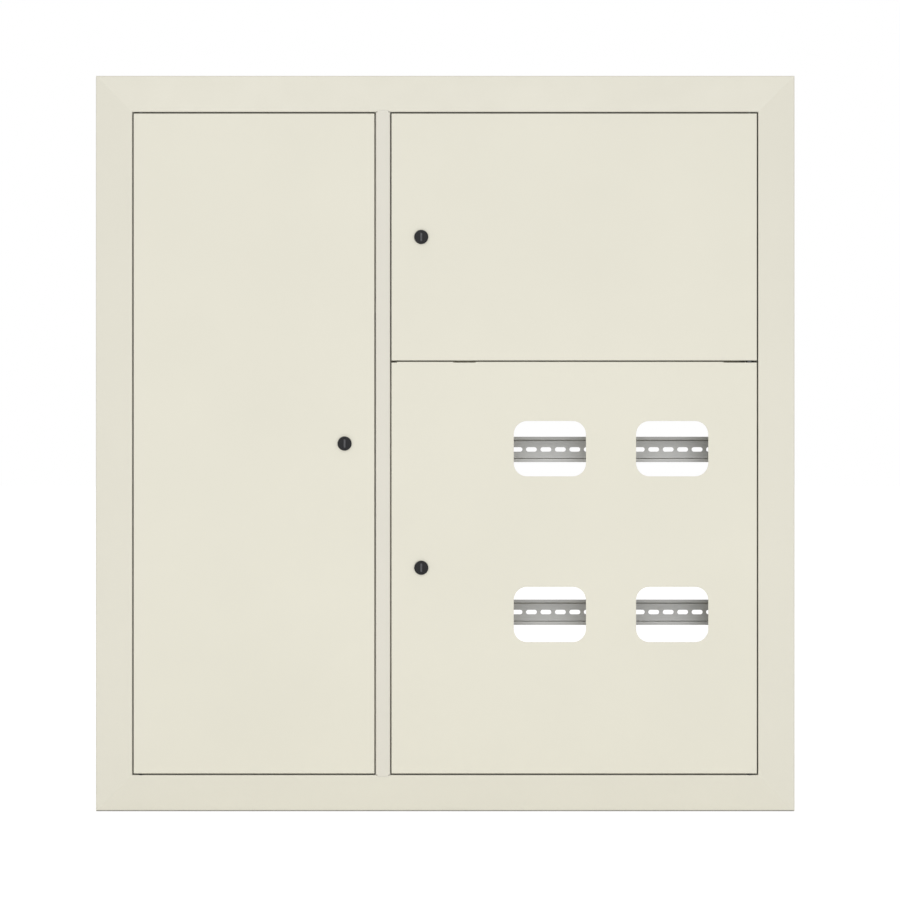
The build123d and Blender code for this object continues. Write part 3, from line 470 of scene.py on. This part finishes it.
def piece(name, mesh, body, slot, *nodes):
    """A mesh as a piece of the board, on a body and in place of CAD nodes."""
    mesh.shade_smooth()
    mesh.set_sharp_from_angle(angle=SHADE_ANGLE)
    mesh.materials.append(MATERIALS[slot])
    made = bpy.data.objects.new(name, mesh)
    bpy.context.scene.collection.objects.link(made)
    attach(made, body)
    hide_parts(*nodes)


def closed_mesh(shape, name):
    """The finished shape as a mesh, with its faces turned outward."""
    bmesh.ops.recalc_face_normals(shape, faces=shape.faces)
    mesh = bpy.data.meshes.new(name)
    shape.to_mesh(mesh)
    shape.free()
    return mesh


def thread(crest, pitch, depth, height):
    """The radius of a thread at a height along its axis, by the angle round it."""
    return lambda angle: crest - depth * abs(2.0 * ((height / pitch + angle / math.tau) % 1.0) - 1.0)


def thread_heights(start, end, pitch):
    """Heights that follow a thread closely from its start to its end."""
    steps = round(ROWS_PER_PITCH * (end - start) / pitch)
    return [start + (end - start) * step / steps for step in range(steps + 1)]


def thread_rows(start, end, crest, pitch, depth):
    return [(height, thread(crest, pitch, depth, height)) for height in thread_heights(start, end, pitch)]


def round_rows(depth, inner_r, outer_r, steps):
    """Rows of a rounded edge that widens from inner_r to outer_r over a depth."""
    turns = [math.pi / 2 * step / steps for step in range(steps + 1)]
    return [(depth * (1 - math.cos(turn)), inner_r + (outer_r - inner_r) * math.sin(turn)) for turn in turns]


def turned(rows, hollow=False):
    """A mesh turned about the Y axis from rows of (height, radius), a radius being a number or a function."""
    shape = bmesh.new()
    rings = []
    for height, radius in rows:
        ring = []
        for step in range(SEGMENTS):
            angle = math.tau * step / SEGMENTS
            reach = radius(angle) if callable(radius) else radius
            ring.append(shape.verts.new((reach * math.cos(angle), height, reach * math.sin(angle))))
        rings.append(ring)
    following = rings[1:] + rings[:1] if hollow else rings[1:]
    for ring, after in zip(rings, following):
        for step in range(SEGMENTS):
            ahead = (step + 1) % SEGMENTS
            shape.faces.new((ring[step], ring[ahead], after[ahead], after[step]))
    if not hollow:
        shape.faces.new(rings[0])
        shape.faces.new(rings[-1])
    return closed_mesh(shape, "turned")


def recess(head_r, head_t, crossed):
    """The driver's tapered blade or cross, as a cutter that starts above the head."""
    length = head_r * (RECESS_LENGTH if crossed else SLOT_LENGTH)
    width = head_r * RECESS_WIDTH
    if crossed:
        outline = []
        arm = [(width, width), (width, length), (-width, length)]
        for _ in range(CROSS_ARMS):
            outline += arm
            arm = [(-z, x) for x, z in arm]
    else:
        outline = [(width, length), (-width, length), (-width, -length), (width, -length)]
    shape = bmesh.new()
    depth = head_t * RECESS_DEPTH
    wide = [shape.verts.new((x, -depth, z)) for x, z in outline]
    narrow = [shape.verts.new((x * RECESS_TAPER, depth, z * RECESS_TAPER)) for x, z in outline]
    shape.faces.new(wide)
    shape.faces.new(narrow)
    for step in range(len(outline)):
        ahead = (step + 1) % len(outline)
        shape.faces.new((wide[step], wide[ahead], narrow[ahead], narrow[step]))
    return closed_mesh(shape, "recess")


def carved(solid, cutter):
    """The solid mesh with the cutter's shape taken out of it."""
    whole, tool = (bpy.data.objects.new(mesh.name, mesh) for mesh in (solid, cutter))
    for part in (whole, tool):
        bpy.context.scene.collection.objects.link(part)
    cut = whole.modifiers.new("cut", "BOOLEAN")
    cut.operation = "DIFFERENCE"
    cut.solver = "EXACT"
    cut.object = tool
    bpy.context.view_layer.update()
    result = bpy.data.meshes.new_from_object(whole.evaluated_get(bpy.context.evaluated_depsgraph_get()))
    for part in (whole, tool):
        bpy.data.objects.remove(part)
    return result


def screw(head_r, head_t, shank_r, shank_l, crossed):
    """A pan-head screw along Y: the top of its head at 0, the thread beyond the head."""
    rows = round_rows(head_t * HEAD_SHOULDER_SHARE, head_r * HEAD_TOP_SHARE, head_r, HEAD_ROUND_STEPS)
    rows.append((head_t, head_r))
    rows += thread_rows(head_t, head_t + shank_l, shank_r, SCREW_PITCH, SCREW_THREAD)
    return carved(turned(rows), recess(head_r, head_t, crossed))


def middle(points):
    """The middle of the box round some points."""
    return Vector((min(axis) + max(axis)) / 2 for axis in zip(*points))


def solids(node):
    """The points of each separate solid in a CAD node, in the order of their places."""
    shape = bmesh.new()
    shape.from_mesh(frame["nodes"][node].data)
    bmesh.ops.remove_doubles(shape, verts=shape.verts, dist=WELD)
    taken = set()
    found = []
    for start in shape.verts:
        if start in taken:
            continue
        taken.add(start)
        reached = [start]
        for vert in reached:
            for edge in vert.link_edges:
                other = edge.other_vert(vert)
                if other not in taken:
                    taken.add(other)
                    reached.append(other)
        found.append([vert.co.copy() for vert in reached])
    shape.free()
    return sorted(found, key=lambda points: tuple(round(part, PLACE_DIGITS) for part in middle(points)))


def ring_radius(points, centre, level, facing):
    """How far the points at a level stand off the axis through the centre."""
    ring = [point for point in points if abs(facing * point.y - level) < WELD]
    return max(math.hypot(point.x - centre.x, point.z - centre.z) for point in ring)


def screw_group(node, body, crossed=True, facing=1):
    """Screws in place of a CAD node's plain ones, each with its head's and shank's size read from it."""
    turns = random.Random(TURN_SEED)
    group = bmesh.new()
    meshes = {}
    for points in solids(node):
        centre = middle(points)
        levels = sorted({round(facing * point.y, SIZE_DIGITS) for point in points})
        radii = {level: ring_radius(points, centre, level, facing) for level in levels}
        top, end = levels[0], levels[-1]
        head_r, shank_r = radii[top], radii[end]
        seat = max(level for level in levels if radii[level] > (head_r + shank_r) / 2)
        sizes = tuple(round(part, SIZE_DIGITS) for part in (head_r, seat - top, shank_r, end - seat))
        if sizes not in meshes:
            meshes[sizes] = screw(*sizes, crossed)
        before = len(group.verts)
        group.from_mesh(meshes[sizes])
        group.verts.ensure_lookup_table()
        spin = Matrix.Rotation(turns.uniform(0, math.tau), MATRIX_SIZE, "Y")
        face = Matrix.Rotation(0 if facing == 1 else math.pi, MATRIX_SIZE, "Z")
        at = Matrix.Translation((centre.x, facing * top, centre.z))
        bmesh.ops.transform(group, matrix=at @ face @ spin, verts=group.verts[before:])
    mesh = bpy.data.meshes.new(node)
    group.to_mesh(mesh)
    group.free()
    piece(f"{node}_detailed", mesh, body, "zinc_steel", node)


def earth_stud():
    """A threaded stud with a chamfered end, standing on the bottom wall."""
    low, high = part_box("earth_stud")
    crest = (high.x - low.x) / 2
    length = high.z - low.z
    rows = thread_rows(0.0, length - STUD_CHAMFER, crest, STUD_PITCH, STUD_THREAD)
    rows.append((length, crest - STUD_CHAMFER))
    mesh = turned(rows)
    stand = Matrix.Rotation(math.pi / 2, MATRIX_SIZE, "X")
    mesh.transform(Matrix.Translation(((low.x + high.x) / 2, (low.y + high.y) / 2, low.z)) @ stand)
    piece("earth_stud_threaded", mesh, "enclosure", "zinc_steel", "earth_stud")


def flatted(height):
    """The radius of the lock barrel's thread at a height, by the angle, with a flat on two sides."""
    ridge = thread(BARREL_R, BARREL_PITCH, BARREL_THREAD, height)
    return lambda angle: min(ridge(angle), BARREL_FLATS / 2 / max(abs(math.cos(angle)), LEAST_COSINE))


def lock_barrel(side):
    """A lock's barrel: a rounded bezel, a thread with two flats behind it, and the rotor's bores."""
    node = f"{side}_lock_barrel"
    low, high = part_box(node)
    bezel_r = (high.x - low.x) / 2
    length = high.y - low.y
    rows = [(DISC_BORE_DEPTH, SHAFT_BORE_R), (DISC_BORE_DEPTH, DISC_BORE_R), (0.0, DISC_BORE_R)]
    rows += round_rows(BEZEL_ROUND, bezel_r - BEZEL_ROUND, bezel_r, BEZEL_STEPS)
    rows.append((BEZEL_T, bezel_r))
    rows += [(height, flatted(height)) for height in thread_heights(BEZEL_T, length, BARREL_PITCH)]
    rows.append((length, SHAFT_BORE_R))
    mesh = turned(rows, hollow=True)
    mesh.transform(Matrix.Translation(((low.x + high.x) / 2, low.y, (low.z + high.z) / 2)))
    piece(f"{node}_threaded", mesh, f"{side}_door", "lock_black", node)


def seen_directly(tree):
    """1 for the rays that show the ground itself: to the camera, in gloss and through glass."""
    path = tree.nodes.new("ShaderNodeLightPath")
    total = path.outputs["Is Camera Ray"]
    for ray in ("Is Glossy Ray", "Is Transmission Ray"):
        most = tree.nodes.new("ShaderNodeMath")
        most.operation = "MAXIMUM"
        for source, socket in zip((total, path.outputs[ray]), most.inputs):
            tree.links.new(source, socket)
        total = most.outputs["Value"]
    return total


def split_rays(tree, lighting, shown, output_kind):
    """One shader for the light that falls on the board, another for the ground as it is seen."""
    mix = tree.nodes.new("ShaderNodeMixShader")
    for source, socket in zip((seen_directly(tree), lighting, shown), mix.inputs):
        tree.links.new(source, socket)
    output = tree.nodes.new(output_kind)
    tree.links.new(mix.outputs["Shader"], output.inputs["Surface"])


def studio_world():
    """An even grey light all round, in front of a white ground."""
    world = bpy.data.worlds.new("studio")
    bpy.context.scene.world = world
    world.use_nodes = True
    tree = world.node_tree
    tree.nodes.clear()
    backgrounds = []
    for strength in (AMBIENT, WHITE_GROUND):
        background = tree.nodes.new("ShaderNodeBackground")
        background.inputs["Color"].default_value = WHITE
        background.inputs["Strength"].default_value = strength
        backgrounds.append(background.outputs["Background"])
    split_rays(tree, *backgrounds, "ShaderNodeOutputWorld")


def floor():
    """A white floor that shows only the board's shadow."""
    level = cad_box[0][2]
    corners = [(x * FLOOR_HALF, y * FLOOR_HALF, level) for x, y in ((-1, -1), (1, -1), (1, 1), (-1, 1))]
    mesh = bpy.data.meshes.new("floor")
    mesh.from_pydata(corners, [], [tuple(range(len(corners)))])
    made = bpy.data.objects.new("floor", mesh)
    bpy.context.scene.collection.objects.link(made)
    look = bpy.data.materials.new("floor_look")
    look.use_nodes = True
    tree = look.node_tree
    tree.nodes.clear()
    plain, shade = (tree.nodes.new("ShaderNodeBsdfDiffuse") for _ in range(2))
    plain.inputs["Color"].default_value = FLOOR_TONE
    shade.inputs["Color"].default_value = FLOOR_SHADE_TONE
    glow = tree.nodes.new("ShaderNodeEmission")
    glow.inputs["Strength"].default_value = FLOOR_GLOW
    shown = tree.nodes.new("ShaderNodeAddShader")
    for source, socket in zip((shade.outputs["BSDF"], glow.outputs["Emission"]), shown.inputs):
        tree.links.new(source, socket)
    split_rays(tree, plain.outputs["BSDF"], shown.outputs["Shader"], "ShaderNodeOutputMaterial")
    mesh.materials.append(look)


def lamps():
    for name, place, width, height, watts, reflected in LAMPS:
        lamp = bpy.data.lights.new(name, "AREA")
        lamp.shape = "RECTANGLE"
        lamp.size = width
        lamp.size_y = height
        lamp.energy = watts
        made = bpy.data.objects.new(name, lamp)
        bpy.context.scene.collection.objects.link(made)
        aim = (Vector(LAMP_TARGET) - Vector(place)).to_track_quat("-Z", "Y")
        made.matrix_world = Matrix.Translation(place) @ aim.to_matrix().to_4x4()
        made.visible_glossy = reflected


def camera():
    lens = bpy.data.cameras.new("camera")
    lens.sensor_width = CAMERA_SENSOR
    lens.lens = CAMERA_LENS
    made = bpy.data.objects.new("camera", lens)
    made.location = CAMERA_PLACE
    made.rotation_euler = (math.pi / 2, 0.0, 0.0)
    bpy.context.scene.collection.objects.link(made)
    bpy.context.scene.camera = made


dress_nodes()
for group in ("frame_screws", "rail_screws", "cover_screws", "plate_screws"):
    screw_group(group, "enclosure")
screw_group("terminal_screws", "enclosure", crossed=False)
earth_stud()
for door in ("left", "upper", "lower"):
    lock_barrel(door)
    screw_group(f"{door}_lock_cam_screw", f"{door}_lock", facing=-1)
studio_world()
floor()
lamps()
camera()
bpy.context.scene.view_settings.view_transform = "Standard"
